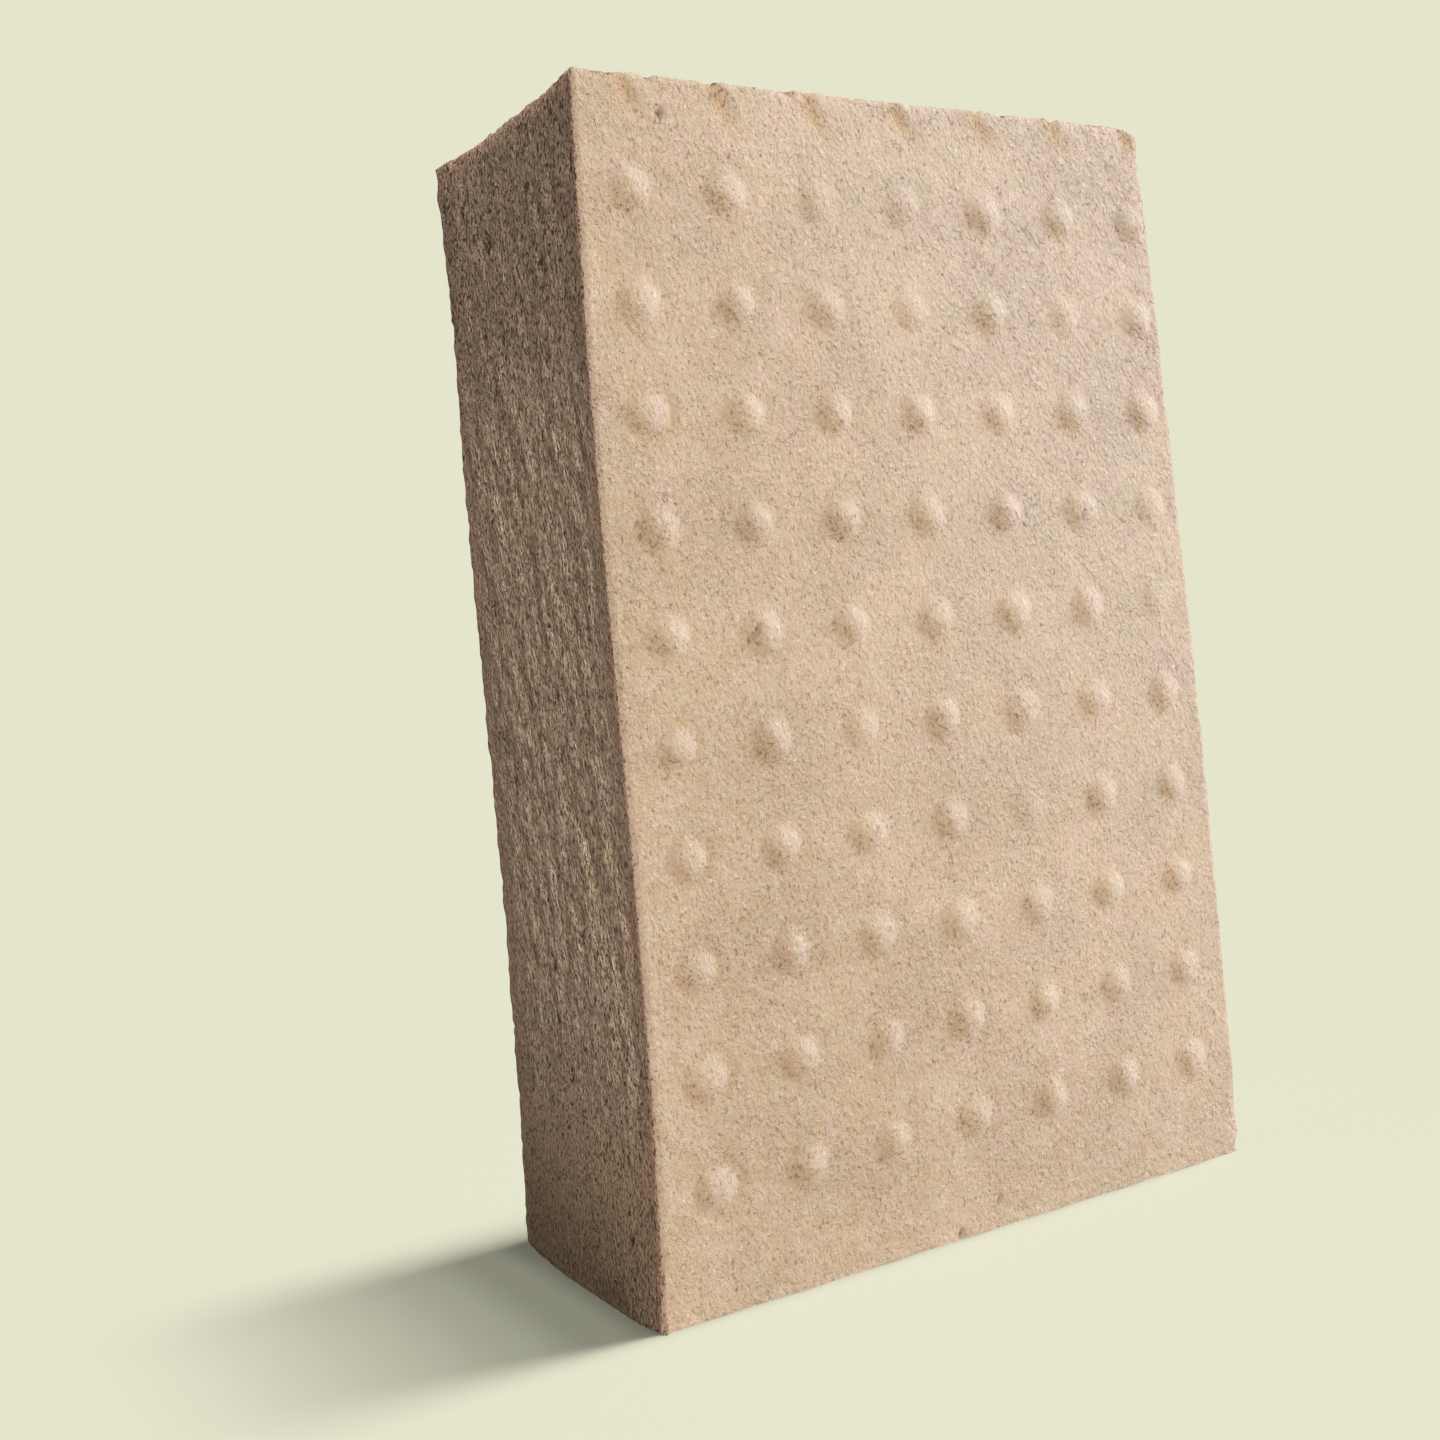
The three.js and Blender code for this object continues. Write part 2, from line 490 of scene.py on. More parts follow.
def right_side(z):
    """Outline on the right: it leans in more, and bows out at half height."""
    rise = z / HEIGHT
    return BASE_WIDTH / 2 - RIGHT_LEAN * rise + RIGHT_BOW * np.sin(np.pi * rise)


def crumbled_lip(points):
    """Share of the left end of the top, where the edge crumbled off to a steep bevel. It
    runs out towards the front and the back."""
    x, y, z = points.T
    left = nearness(BASE_WIDTH / 2 + x, 3, 1)
    middle = 1 - nearness(DEPTH / 2 - np.abs(y), 5, 1)
    return left * middle * nearness(HEIGHT - z, 4, 2)


def corner_radii(points, shape):
    """Rounding at each point of the straight box, for x, y and z: the worn edge radius, less
    around the cuts at both ends and next to none at the foot, and more at the corners of the
    front and the back outline. The crumbled lip reaches further down than it reaches in."""
    x, y, z = points.T
    worn, cut = shape.edge_radius / MM, shape.cut_edge_radius / MM
    edges = worn + (cut - worn) * nearness(np.minimum(z, HEIGHT - z), 4, 1)
    edges = edges * (1 - 0.9 * nearness(z, 1.2, 0.4))
    outline = edges
    backwards = smooth_step(y + DEPTH / 2, 0, 5)
    for side, height, front_radius, back_radius in CORNERS:
        reach = BASE_WIDTH / 2 - side * x + np.abs(z - height)
        radius = front_radius + (back_radius - front_radius) * backwards
        outline = np.maximum(outline, radius * nearness(reach, 9, 5))
    lip = crumbled_lip(points)
    return np.stack([np.maximum(outline, LIP_DEPTH * lip), edges,
                     np.maximum(outline, LIP_HEIGHT * lip)], axis=1)


def rounded_box(points, half_size, radii, powers):
    """Rounds the edges of a centred box: a point is pulled to the inner box that is smaller
    by the radii, and set back from there along a superellipsoid with those radii: the power
    2 is round, and 1 a flat bevel."""
    inner = np.clip(points, radii - half_size, half_size - radii)
    direction = (points - inner) / radii
    length = np.sum(np.abs(direction) ** powers[:, None], axis=1) ** (1 / powers)
    return inner + radii * direction / length[:, None]


def leaning_block(points):
    """Sets the straight box between the leaning side outlines, and swells both sides at half
    depth, most at the bottom and not at all at the top."""
    x, y, z = points.T
    left, right = left_side(z), right_side(z)
    share = x / BASE_WIDTH + 0.5
    leaning = left + share * (right - left)
    swell = BASE_SWELL * (1 - (2 * y / DEPTH) ** 2) * (1 - z / HEIGHT) ** 2
    return np.stack([leaning + swell * leaning / (BASE_WIDTH / 2), y, z], axis=1)


# ---------------------------------------------------------------------------
# Relief on the block, in millimetres outwards
# ---------------------------------------------------------------------------


def unevenness(row, column, phase):
    """A fixed pattern of numbers from -1 to 1 that makes no two bumps quite alike."""
    return np.sin(2.3 * row + 4.1 * column + phase) * np.cos(1.7 * row - 2.9 * column + 2 * phase)


def bump_pattern(points, facing, shape):
    """The press plate's bumps on one face. Each point looks at the nearest bump of the grid,
    at distance d in bump radii: the crown is 1 - d^2 raised to a power, and the moat a ring,
    a bell curve over d. Most bumps of the first column are wide and low. The skin is pale
    inside the foot and most towards the upper right, where the light falls, as a painted
    highlight; the stain lies at the foot on the other side and is also painted shade. A wide
    bump has a faint stained ring too, and each half bump of the top row a dent beside it,
    coloured as painted shade. Returns the relief, the share of pale skin with its painted
    highlight, and the share of stain with its painted shade."""
    x, _, z = points.T
    wander_x = OUTLINE_WANDER * lattice_noise(points, 2.0, seed=31)
    wander_z = OUTLINE_WANDER * lattice_noise(points, 2.0, seed=32)
    column = np.clip(np.rint((x - COLUMN_SHIFT) / PITCH + MIDDLE_COLUMN), 0, COLUMNS - 1)
    row = np.clip(np.rint((HEIGHT - FIRST_ROW_DROP - z) / PITCH), 0, ROWS - 1)
    share = 1 - HEIGHT_SPREAD * (0.5 + 0.5 * unevenness(row, column, facing))
    share = share * np.where(row == 0, HALF_SHARE, 1)
    if facing < 0:
        for faint_row, faint_column, faint_share in FAINT_BUMPS:
            share = np.where((row == faint_row) & (column == faint_column), faint_share, share)
    wide = (column == 0) & np.isin(row, WIDE_ROWS)

    def of_kind(pair):
        """The first value for a full bump, and the second for a wide one."""
        return np.where(wide, pair[1], pair[0])

    spread = RADIUS_SPREAD * unevenness(column, row, facing)
    radius = shape.bump_radius / MM * (of_kind(RADIUS_SHARE) + spread)
    from_x = (x + wander_x - (column - MIDDLE_COLUMN) * PITCH - COLUMN_SHIFT) / radius
    from_z = (z + wander_z - (HEIGHT - FIRST_ROW_DROP - row * PITCH)) / radius
    distance = np.hypot(from_x, from_z)
    crown = np.clip(1 - distance ** 2, 0, 1) ** of_kind(CROWN_POWER)
    crown *= share * of_kind(CROWN_SHARE)
    moat = np.exp(-((distance - MOAT_RADIUS) / MOAT_WIDTH) ** 2) * of_kind(MOAT_SHARE) * share
    relief = crown * shape.bump_height / MM - moat * shape.moat_depth / MM
    if facing < 0:
        worn = (row == 0) & (column == COLUMNS - 1)
        relief, share = np.where(worn, 0, relief), np.where(worn, 0, share)

    # The pale side is a painted highlight: it points up to the right, towards the light, at an
    # angle that falls from row to row, and the stain's painted shade lies opposite.
    slant = 0.6 - 0.04 * row + 0.25 * unevenness(row, column, 3 * facing)
    towards = -facing * from_x * np.cos(slant) + from_z * np.sin(slant)
    beside = facing * from_x * np.sin(slant) + from_z * np.cos(slant)
    inside = smooth_step(1 - distance, -0.05, 0.25)
    pale = inside * smooth_step(towards + of_kind(PALE_HIGHLIGHT_START), 0, 1.35) * share
    pale *= of_kind(PALE_HIGHLIGHT_SHARE)
    # The stain lies on the side away from the light, so that it is also painted shade.
    from_stain = (towards + of_kind(STAIN_AND_SHADE_PLACE)) / of_kind(STAIN_AND_SHADE_WIDTH)
    stain = 0.8 * np.exp(-from_stain ** 2 - ((beside + 0.1) / 0.85) ** 2) * share
    ring = 0.4 * wide * np.exp(-((distance - 1.2) / 0.2) ** 2)
    # The dent beside each half bump of the top row is coloured as painted shade.
    dent = np.exp(-((towards + 0.25) / 0.4) ** 2 - ((beside + 0.6) / 1.3) ** 2) * (row == 0)
    stain = np.maximum(np.maximum(stain, ring), dent)
    relief -= DENT_DEPTH * dent
    return relief, pale, stain


def pressed_relief(points, shape):
    """Slow swells of the pressed faces, and creases that fall to the right, deepest towards
    the upper right: noise stretched along them."""
    x, y, z = points.T
    slow = 0.06 * layered_noise(points, 15, seed=41, layers=2)
    along = x * np.cos(CREASE_FALL) - z * np.sin(CREASE_FALL)
    aside = x * np.sin(CREASE_FALL) + z * np.cos(CREASE_FALL)
    slanted = np.stack([along, y, aside], axis=1)
    creases = layered_noise(slanted, (3.6, 3.6, 1.5), seed=43, layers=2, fade=0.6)
    folds = lattice_noise(slanted, (11.0, 6.0, 3.2), seed=45)
    strength = 0.12 + 0.55 * smooth_step(x / BASE_WIDTH + z / HEIGHT, 0.1, 1.1)
    patchy = 0.6 + 0.4 * lattice_noise(points, 9, seed=47)
    depth = shape.crease_depth / MM
    return slow + depth * strength * (patchy * creases + 0.3 * folds)


def torn_share(points):
    """How torn a narrow side is: fully in the middle, hardly at the foot, and less near the
    top and near the upright edges."""
    _, y, z = points.T
    wander = 4 * lattice_noise(points, 12, seed=51)
    foot = smooth_step(z + wander, 8, 34)
    top = nearness(HEIGHT - z - wander, 34, 14)
    inwards = smooth_step(DEPTH / 2 - np.abs(y) + 0.2 * wander, 0.6, 4.5)
    at_height = (TORN_AT_FOOT + (1 - TORN_AT_FOOT) * foot) * (1 - (1 - TORN_AT_TOP) * top)
    return at_height * (TORN_AT_EDGE + (1 - TORN_AT_EDGE) * inwards)


def streak_relief(points, torn, shape):
    """Torn curd on the narrow sides: lumps drawn out upwards with gaps between them, and a
    few deeper holes where curds came away."""
    x, y, z = points.T
    drawn = np.stack([x, y - STREAK_SLANT * z, z], axis=1)
    lumps = layered_noise(drawn, (1.6, 1.6, 4.2), seed=53, layers=3, fade=0.75)
    slow = layered_noise(drawn, (5.0, 5.0, 14.0), seed=59, layers=2)
    gaps = 1 - np.abs(lattice_noise(drawn, (1.5, 1.5, 3.6), seed=61)) * 3
    depth = shape.streak_depth / MM
    return depth * torn * (lumps + 0.3 * slow - 0.45 * np.clip(gaps, 0, 1))


def crumbled_relief(points, shape):
    """Broken curd on the cuts: rounded crumbs, all of them below the cut."""
    crumbs = layered_noise(points, 1.8, seed=67, layers=3, fade=0.65)
    return -shape.crumb_depth / MM * np.clip(0.2 - 0.7 * crumbs, 0, 1)


def edge_notches(points, box_points, shape):
    """Notches along the edges: dense around the top cut, few along the other edges. The
    nearness to an edge falls off as exp(-distance / reach)."""
    to_side = BASE_WIDTH / 2 - np.abs(box_points[:, 0])
    to_face = DEPTH / 2 - np.abs(box_points[:, 1])
    to_top = HEIGHT - box_points[:, 2]
    to_base = box_points[:, 2]
    depth = shape.crumb_depth / MM
    rim = np.exp(-np.maximum(to_top, np.minimum(to_side, to_face)) / NOTCH_REACH)
    foot = np.exp(-np.maximum(to_base, np.minimum(to_side, to_face)) / NOTCH_REACH)
    upright = np.exp(-np.maximum(to_side, to_face) / NOTCH_REACH)
    far_side = smooth_step(box_points[:, 1], -5, 5)
    nibbles = layered_noise(points, 0.85, seed=71, layers=2, fade=0.8)
    bites = smooth_step(lattice_noise(points, 3.5, seed=73), 0.1, 0.8)
    slow_bites = smooth_step(lattice_noise(points, (4.0, 4.0, 7.0), seed=79), 0.0, 0.9)
    top_notch = rim * 0.15 * bites + rim ** 2 * 1.2 * smooth_step(nibbles, 0.08, 0.45)
    side_notch = upright * ((0.2 + 0.35 * far_side) * nibbles
                            + (0.1 + 0.3 * far_side) * slow_bites - 0.25)
    foot_notch = foot * (0.25 * nibbles + 0.2 * slow_bites - 0.1)
    return -depth * (top_notch + side_notch + foot_notch)


def corner_flare(points):
    """Where the left side flares out: at its far top corner and at its near foot."""
    x, y, z = points.T
    left = nearness(BASE_WIDTH / 2 + x, 6, 3)
    far_top = nearness(DEPTH / 2 - y, 12, 1) * nearness(HEIGHT - z, 20, 2)
    near_foot = nearness(DEPTH / 2 + y, DEPTH / 2 + 6, 3) * np.exp(-z / 5)
    return left * (FAR_FLARE * far_top + FOOT_FLARE * near_foot)


def holes_share(first, second, holes):
    """Share of the nearest of some single holes: 1 in its middle, and 0 outside it."""
    share = np.zeros(len(first))
    for at_first, at_second, radius in holes:
        distance = np.hypot(first - at_first, second - at_second) / radius
        share = np.maximum(share, nearness(distance, 1.2, 0.3))
    return share


def block_surface(shape):
    """The finished surface: the rounded, leaning block with its relief laid on along the
    outward direction. Returns points, quads, the length of the base ring, and the shares
    that the material reads."""
    spacing = np.array(shape.line_spacing) / MM
    half_size = np.array([BASE_WIDTH, DEPTH, HEIGHT]) / 2
    across = grid_lines(BASE_WIDTH, spacing[0]) - BASE_WIDTH / 2
    deep = grid_lines(DEPTH, spacing[1]) - DEPTH / 2
    up = grid_lines(HEIGHT, spacing[2])
    straight, quads, ring_count = wrapped_box(across, deep, up)
    middle = np.array([0, 0, HEIGHT / 2])
    radii = corner_radii(straight, shape)
    powers = 2 - (2 - LIP_POWER) * crumbled_lip(straight)
    box_points = rounded_box(straight - middle, half_size, radii, powers) + middle
    points = leaning_block(box_points)
    normals = point_normals(points, quads)

    pressed = smooth_step(np.abs(normals[:, 1]), *FACE_TURN)
    side = smooth_step(np.abs(normals[:, 0]), *FACE_TURN)
    top = smooth_step(normals[:, 2], *FACE_TURN)
    is_front = points[:, 1] < 0
    bumps, pale, stain = (np.where(is_front, front, back) for front, back in
                          zip(bump_pattern(points, -1, shape), bump_pattern(points, 1, shape)))
    torn = torn_share(points) * (1 - 0.8 * top)
    front_holes = holes_share(points[:, 0], points[:, 2], FRONT_HOLES) * (normals[:, 1] < -0.5)
    left_holes = holes_share(points[:, 1], points[:, 2], LEFT_HOLES) * (normals[:, 0] < -0.5)
    random_holes = smooth_step(lattice_noise(points, (1.3, 1.3, 1.7), seed=83), 0.8, 0.95) * side
    holes = np.maximum(front_holes, np.maximum(left_holes, random_holes))

    relief = pressed * (bumps + pressed_relief(points, shape))
    relief += side * (streak_relief(points, torn, shape) + corner_flare(box_points))
    relief += top * crumbled_relief(points, shape)
    relief += edge_notches(points, box_points, shape)
    relief -= HOLE_DEPTH * holes
    points = points + normals * relief[:, None]
    points = np.clip(points, LOW, HIGH)
    points[:ring_count, 2] = 0

    from_faces = np.stack([BASE_WIDTH / 2 - np.abs(box_points[:, 0]),
                           DEPTH / 2 - np.abs(box_points[:, 1]), HEIGHT - box_points[:, 2]])
    to_edge = np.median(from_faces, axis=0)
    to_top_edge = np.maximum(from_faces[0], from_faces[2])
    upright_cut = (1 - pressed) * (1 - top)
    # The pale share is also a painted highlight, the stain share also painted shade, and the dried
    # share a painted glow of light along the top edges of the cut sides.
    shares = {
        "pressed": pressed,
        "pale": pale * pressed,
        "stain": stain * pressed,
        "torn": torn,
        "top": top,
        "hole": holes,
        "rim": upright_cut * np.exp(-to_edge / RUSSET_REACH),
        "dried": upright_cut * nearness(to_top_edge, 2.4, 1.2),
    }
    return points, quads, ring_count, shares


# ---------------------------------------------------------------------------
# Materials
# ---------------------------------------------------------------------------


class Amount:
    """A number or vector socket that takes part in Python expressions. Every operator adds a
    Math node, or a Vector Math node where the amount is a vector."""

    def __init__(self, bench, socket):
        self.bench = bench
        self.socket = socket

    def combine(self, operation, first, second):
        """The result of one operation on two amounts or plain values."""
        kind = "ShaderNodeMath" if self.socket.type == "VALUE" else "ShaderNodeVectorMath"
        node = self.bench.node(kind, {"operation": operation}, {0: first, 1: second})
        return self.bench.amount(node)

    def __add__(self, other):
        return self.combine("ADD", self, other)

    def __radd__(self, other):
        return self.combine("ADD", other, self)

    def __sub__(self, other):
        return self.combine("SUBTRACT", self, other)

    def __rsub__(self, other):
        return self.combine("SUBTRACT", other, self)

    def __mul__(self, other):
        return self.combine("MULTIPLY", self, other)

    def __rmul__(self, other):
        return self.combine("MULTIPLY", other, self)


class Bench:
    """Puts nodes into one material's or world's node tree."""

    def __init__(self, tree):
        self.tree = tree
        tree.nodes.clear()

    def node(self, kind, settings=None, sockets=None):
        """Adds a node: settings are its own properties, and sockets its inputs by name or
        place, each given a plain value, an Amount or another node's output."""
        node = self.tree.nodes.new(kind)
        for name, value in (settings or {}).items():
            setattr(node, name, value)
        for name, value in (sockets or {}).items():
            value = value.socket if isinstance(value, Amount) else value
            if isinstance(value, bpy.types.NodeSocket):
                self.tree.links.new(value, node.inputs[name])
            else:
                node.inputs[name].default_value = value
        return node

    def amount(self, node, output=0):
        """One of a node's outputs, by name or place."""
        return Amount(self, node.outputs[output])

    def object_place(self):
        """The point on the object, in millimetres."""
        place = self.amount(self.node("ShaderNodeTexCoord"), "Object")
        return place * (1 / MM, 1 / MM, 1 / MM)

    def turned(self, place, angles):
        """The place, turned about the axes by the angles."""
        return self.amount(self.node("ShaderNodeMapping", {"vector_type": "POINT"},
                                     {"Vector": place, "Rotation": angles}))

    def share(self, name):
        """One of the shares stored on the mesh's points."""
        return self.amount(self.node("ShaderNodeAttribute", {"attribute_name": name}), "Fac")

    def noise(self, place, cell, detail=2.0, roughness=0.5, stretch=(1, 1, 1)):
        """Noise from 0 to 1 whose cells have the given size in millimetres, times stretch."""
        scaled = place * tuple(1 / (cell * axis) for axis in stretch)
        sockets = {"Vector": scaled, "Scale": 1.0, "Detail": detail, "Roughness": roughness}
        return self.amount(self.node("ShaderNodeTexNoise", {"noise_dimensions": "3D"}, sockets))

    def s_curve(self, value, low, high, to_low=0.0, to_high=1.0):
        """Takes the stretch from low to high smoothly to to_low and to_high."""
        settings = {"interpolation_type": "SMOOTHSTEP"}
        sockets = {"Value": value, "From Min": low, "From Max": high,
                   "To Min": to_low, "To Max": to_high}
        return self.amount(self.node("ShaderNodeMapRange", settings, sockets))

    def blend(self, share, first, second, way="MIX"):
        """Mixes two colours by a share."""
        def full(colour):
            return (*colour, 1.0) if isinstance(colour, (tuple, list)) else colour
        mix = self.node("ShaderNodeMix", {"data_type": "RGBA", "blend_type": way},
                        {0: share, 6: full(first), 7: full(second)})
        return self.amount(mix, 2)

    def coats(self, colour, *layers):
        """Lays colours over a first one, in order, each as (share, colour)."""
        for share, tone in layers:
            colour = self.blend(share, colour, tuple(tone))
        return colour

    def sight(self, unseen, seen):
        """Shows the camera one shader, and lights the scene with the other."""
        path = self.node("ShaderNodeLightPath")
        return self.node("ShaderNodeMixShader", sockets={
            0: path.outputs["Is Camera Ray"], 1: unseen.outputs[0], 2: seen.outputs[0]})


def curd_material(finish):
    """Damp pressed curd. The pressed faces are beige with slow blush and straw patches, finer
    pink and sage mottling, pale skin and caramel stain on the bumps; the cut sides carry
    drawn-out strands with dark gaps, pits and russet rims. Light and shade are painted in as
    well: the pressed faces lighter towards the upper right and darker towards the foot and
    the left, a highlight on the lit side of each bump and shade on the other, highlights on
    the strands and grain, shade in the gaps, pits, creases and holes and at the foot of the
    cut sides, and a glow along their top edges."""
    material = bpy.data.materials.new("pressed_curd")
    material.use_nodes = True
    bench = Bench(material.node_tree)
    place = bench.object_place()
    # These shares carry painted light as well: a highlight with the pale skin, shade with the
    # stain, and a glow along the top edges of the cut sides.
    pressed, pale, stain = (bench.share(name) for name in ("pressed", "pale", "stain"))
    torn, hole, rim, dried = (bench.share(name) for name in ("torn", "hole", "rim", "dried"))
    upright = 1 - bench.share("top")
    cut = 1 - pressed
    slanted = bench.turned(place, (0, -CREASE_FALL, 0))
    drawn = bench.turned(place, (math.atan(STREAK_SLANT), 0, 0))

    # Noise that colour and relief share.
    patches = bench.noise(place, 13, detail=3, roughness=0.55)
    flecks = bench.noise(place, 2.4, detail=3, roughness=0.6)
    hues = bench.noise(place + (50, 0, 0), 2.7, detail=2, roughness=0.45)
    grit = bench.noise(place, 0.32, detail=2, roughness=0.7, stretch=(1, 1, 1.3))
    slants = bench.noise(slanted, 0.6, detail=2, roughness=0.6, stretch=(2.2, 2.2, 1))
    wrinkles = bench.noise(slanted, 0.9, detail=2, roughness=0.65, stretch=(1.9, 1.9, 1))
    clumps = bench.noise(place, 0.55, detail=2, roughness=0.6, stretch=(1, 1, 1.5))
    strands = bench.noise(drawn, 0.31, detail=2, roughness=0.75, stretch=(1, 1, 3))
    lumps = bench.noise(drawn, 0.8, detail=2, roughness=0.65, stretch=(1, 1, 2.6))
    pores = bench.noise(place, 0.34, detail=1, roughness=0.5, stretch=(1, 1, 1.7))
    hollows = bench.noise(place, 0.75, detail=1, roughness=0.5, stretch=(1, 1, 1.5))

    # Pressed faces: a slow change from the straw foot to the blush upper right, which is painted
    # shade towards the foot and the left and painted light towards the upper right; mottled,
    # with stained and pale skin on the bumps, which also paint shade and a highlight.
    axes = bench.node("ShaderNodeSeparateXYZ", sockets={0: place})
    height = bench.amount(axes, "Z") * (1 / HEIGHT)
    across = bench.amount(axes, "X") * (1 / BASE_WIDTH)
    painted_light_gradient = bench.s_curve(height + across + (patches - 0.5) * 1.1, 0.3, 1.5)
    painted_shade_gradient = 0.8 - height * 0.7 - across * 1.6 + (patches - 0.5) * 0.8
    skin = bench.coats(
        tuple(finish.beige),
        (painted_light_gradient, finish.blush),
        (bench.s_curve(painted_shade_gradient, 0.2, 1.2) * 0.8, finish.straw),
        (bench.s_curve(flecks, 0.45, 0.7) * 0.34, finish.blush),
        (bench.s_curve(flecks, 0.52, 0.3) * 0.32, finish.straw),
        (bench.s_curve(hues, 0.48, 0.66) * 0.32, finish.pink),
        (bench.s_curve(hues, 0.52, 0.34) * 0.25, finish.sage),
        # The stain also paints shade on the side of the bumps away from the light, with darker
        # specks of painted shade in it, and the pale skin paints a highlight on the lit side.
        (stain * bench.s_curve(flecks, 0.2, 0.6, 0.5, 0.9), finish.stain),
        (stain * bench.s_curve(grit, 0.48, 0.36) * 0.45, finish.painted_deep_shade),
        (pale * 0.75, finish.crown),
    )

    # Cut faces: torn curd, browner and darker at the foot, where the darkening is painted shade
    # next to the floor, with russet rims and a painted glow of light along the top edges.
    sides = bench.coats(
        tuple(finish.worn_tone),
        (torn, finish.torn_tone),
        (bench.s_curve(hues, 0.45, 0.7) * 0.25, finish.pink),
        (bench.s_curve(hues, 0.5, 0.3) * 0.2, finish.sage),
        # Darker and browner at the foot, next to the floor: painted shade, darkest lowest.
        (bench.s_curve(height, 0.25, 0.0) * 0.65, finish.foot_brown_and_painted_shade),
        (bench.s_curve(height, 0.14, 0.0) * 0.6, finish.painted_deep_shade),
        (bench.s_curve(height, 0.7, 1.0) * 0.12, finish.painted_deep_shade),
        (rim * bench.s_curve(flecks, 0.2, 0.6, 0.25, 0.65), finish.russet),
        # A painted glow of light along the top edges of the cut sides.
        (dried * bench.s_curve(flecks, 0.2, 0.6, 0.6, 1.0), finish.dried),
    )

    # Strands and grit of the cut faces, painted as light ridges with dark gaps and as glints
    # and dark specks: painted highlights and painted shade of a raking light. They are fainter
    # on the right side, which is in more light.
    strength = 1 - bench.s_curve(across, 0.2, 0.4) * 0.5
    combed = torn * (1 - dried * 0.6)
    combed = bench.s_curve(strands, 0.33, 0.57) * combed + (1 - combed) * 0.6
    painted_strand_light = bench.blend(combed, (0.46, 0.4, 0.31), (1.4, 1.47, 1.64))
    sides = bench.blend(strength, sides, painted_strand_light, "MULTIPLY")
    glints = bench.s_curve(grit, 0.35, 0.54)
    sparkle = bench.blend(glints, (0.7, 0.69, 0.67), (1.17, 1.17, 1.17))
    sides = bench.blend(strength, sides, sparkle, "MULTIPLY")

    # Dark creases, gaps, pits and holes: painted shade in the recesses. Crumbly curd, with more
    # pits, lies near the top and at the foot of the cut sides.
    lines = bench.s_curve(wrinkles, 0.45, 0.5) * bench.s_curve(wrinkles, 0.55, 0.5)
    creases = lines * bench.s_curve(flecks, 0.4, 0.6) * pressed * (0.4 + painted_light_gradient * 0.6)
    gaps = bench.s_curve(lumps, 0.45, 0.3) * cut * torn
    crumbly_top = bench.s_curve(height, 0.65, 0.85) * upright
    crumbly = crumbly_top + bench.s_curve(height, 0.34, 0.18) * 0.65
    pits = bench.s_curve(pores + crumbly * cut * 0.1, 0.69, 0.72)
    pits = pits * (pressed * 0.4 + cut * strength)
    cavities = bench.s_curve(hollows + crumbly * 0.05, 0.73, 0.77) * cut * upright
    colour = bench.coats(
        bench.blend(cut, skin, sides),
        (creases * 0.2, finish.stain),
        (gaps * 0.36, finish.painted_deep_shade),
        (pits * 0.9, finish.painted_deep_shade),
        (cavities * 0.85, finish.painted_deep_shade),
        (hole * 0.9, finish.painted_deep_shade),
    )

    # The tone of the finest grain: dark specks, partly painted shade of the grain, and pale
    # glints, which are painted highlights.
    tone = bench.blend(bench.s_curve(grit, 0.41, 0.30), (1.0, 1.0, 1.0), (0.73, 0.66, 0.55))
    tone = bench.blend(bench.s_curve(grit, 0.56, 0.70), tone, (1.22, 1.24, 1.27))
    colour = bench.blend(1.0, colour, tone, "MULTIPLY")

    # Fine relief: raised slants and clumps on the pressed faces, strands on the cut ones.
    coarse = bench.s_curve(slants, 0.47, 0.66) * (0.09 + painted_light_gradient * 0.27) - creases * 0.15
    coarse = coarse + bench.s_curve(clumps, 0.4, 0.62) * (0.2 - painted_light_gradient * 0.12)
    rough = bench.s_curve(patches, 0.35, 0.65, 0.75, 1.25) * (1 - pale * 0.6)
    grain = (grit * 0.8 + coarse - pits * 0.6) * rough * finish.grain
    ridges = bench.s_curve(strands, 0.32, 0.66) * (0.08 + torn * 0.16)
    side_relief = lumps * torn * 0.5 + ridges + grit * 0.65 - pits * 0.4 - cavities * 0.4
    relief = grain * pressed + side_relief * finish.side_grain * cut
    bump = bench.node("ShaderNodeBump", sockets={
        "Strength": 1.0, "Distance": 1.0, "Height": relief})

    low, high = finish.roughness - ROUGHNESS_SPREAD, finish.roughness + ROUGHNESS_SPREAD
    shader = bench.node("ShaderNodeBsdfPrincipled", sockets={
        "Base Color": colour,
        "Roughness": bench.s_curve(flecks, 0.3, 0.7, low, high),
        "IOR": 1.42,
        "Specular IOR Level": 0.45,
        "Normal": bump.outputs[0],
    })
    bench.node("ShaderNodeOutputMaterial", sockets={"Surface": shader.outputs[0]})
    return material


def floor_material(stage):
    """Plain matte floor that shows the backdrop colour where it is lit, and throws back a
    light of its own tone at the block."""
    material = bpy.data.materials.new("studio_floor")
    material.use_nodes = True
    bench = Bench(material.node_tree)
    light = stage.floor_light / math.pi + stage.ambient
    seen = bench.node("ShaderNodeBsdfDiffuse",
                      sockets={"Color": (*(channel / light for channel in stage.backdrop), 1.0)})
    thrown = bench.node("ShaderNodeBsdfDiffuse",
                        sockets={"Color": (*(channel / light for channel in stage.bounce), 1.0)})
    both = bench.sight(thrown, seen)
    bench.node("ShaderNodeOutputMaterial", sockets={"Surface": both.outputs[0]})
    return material


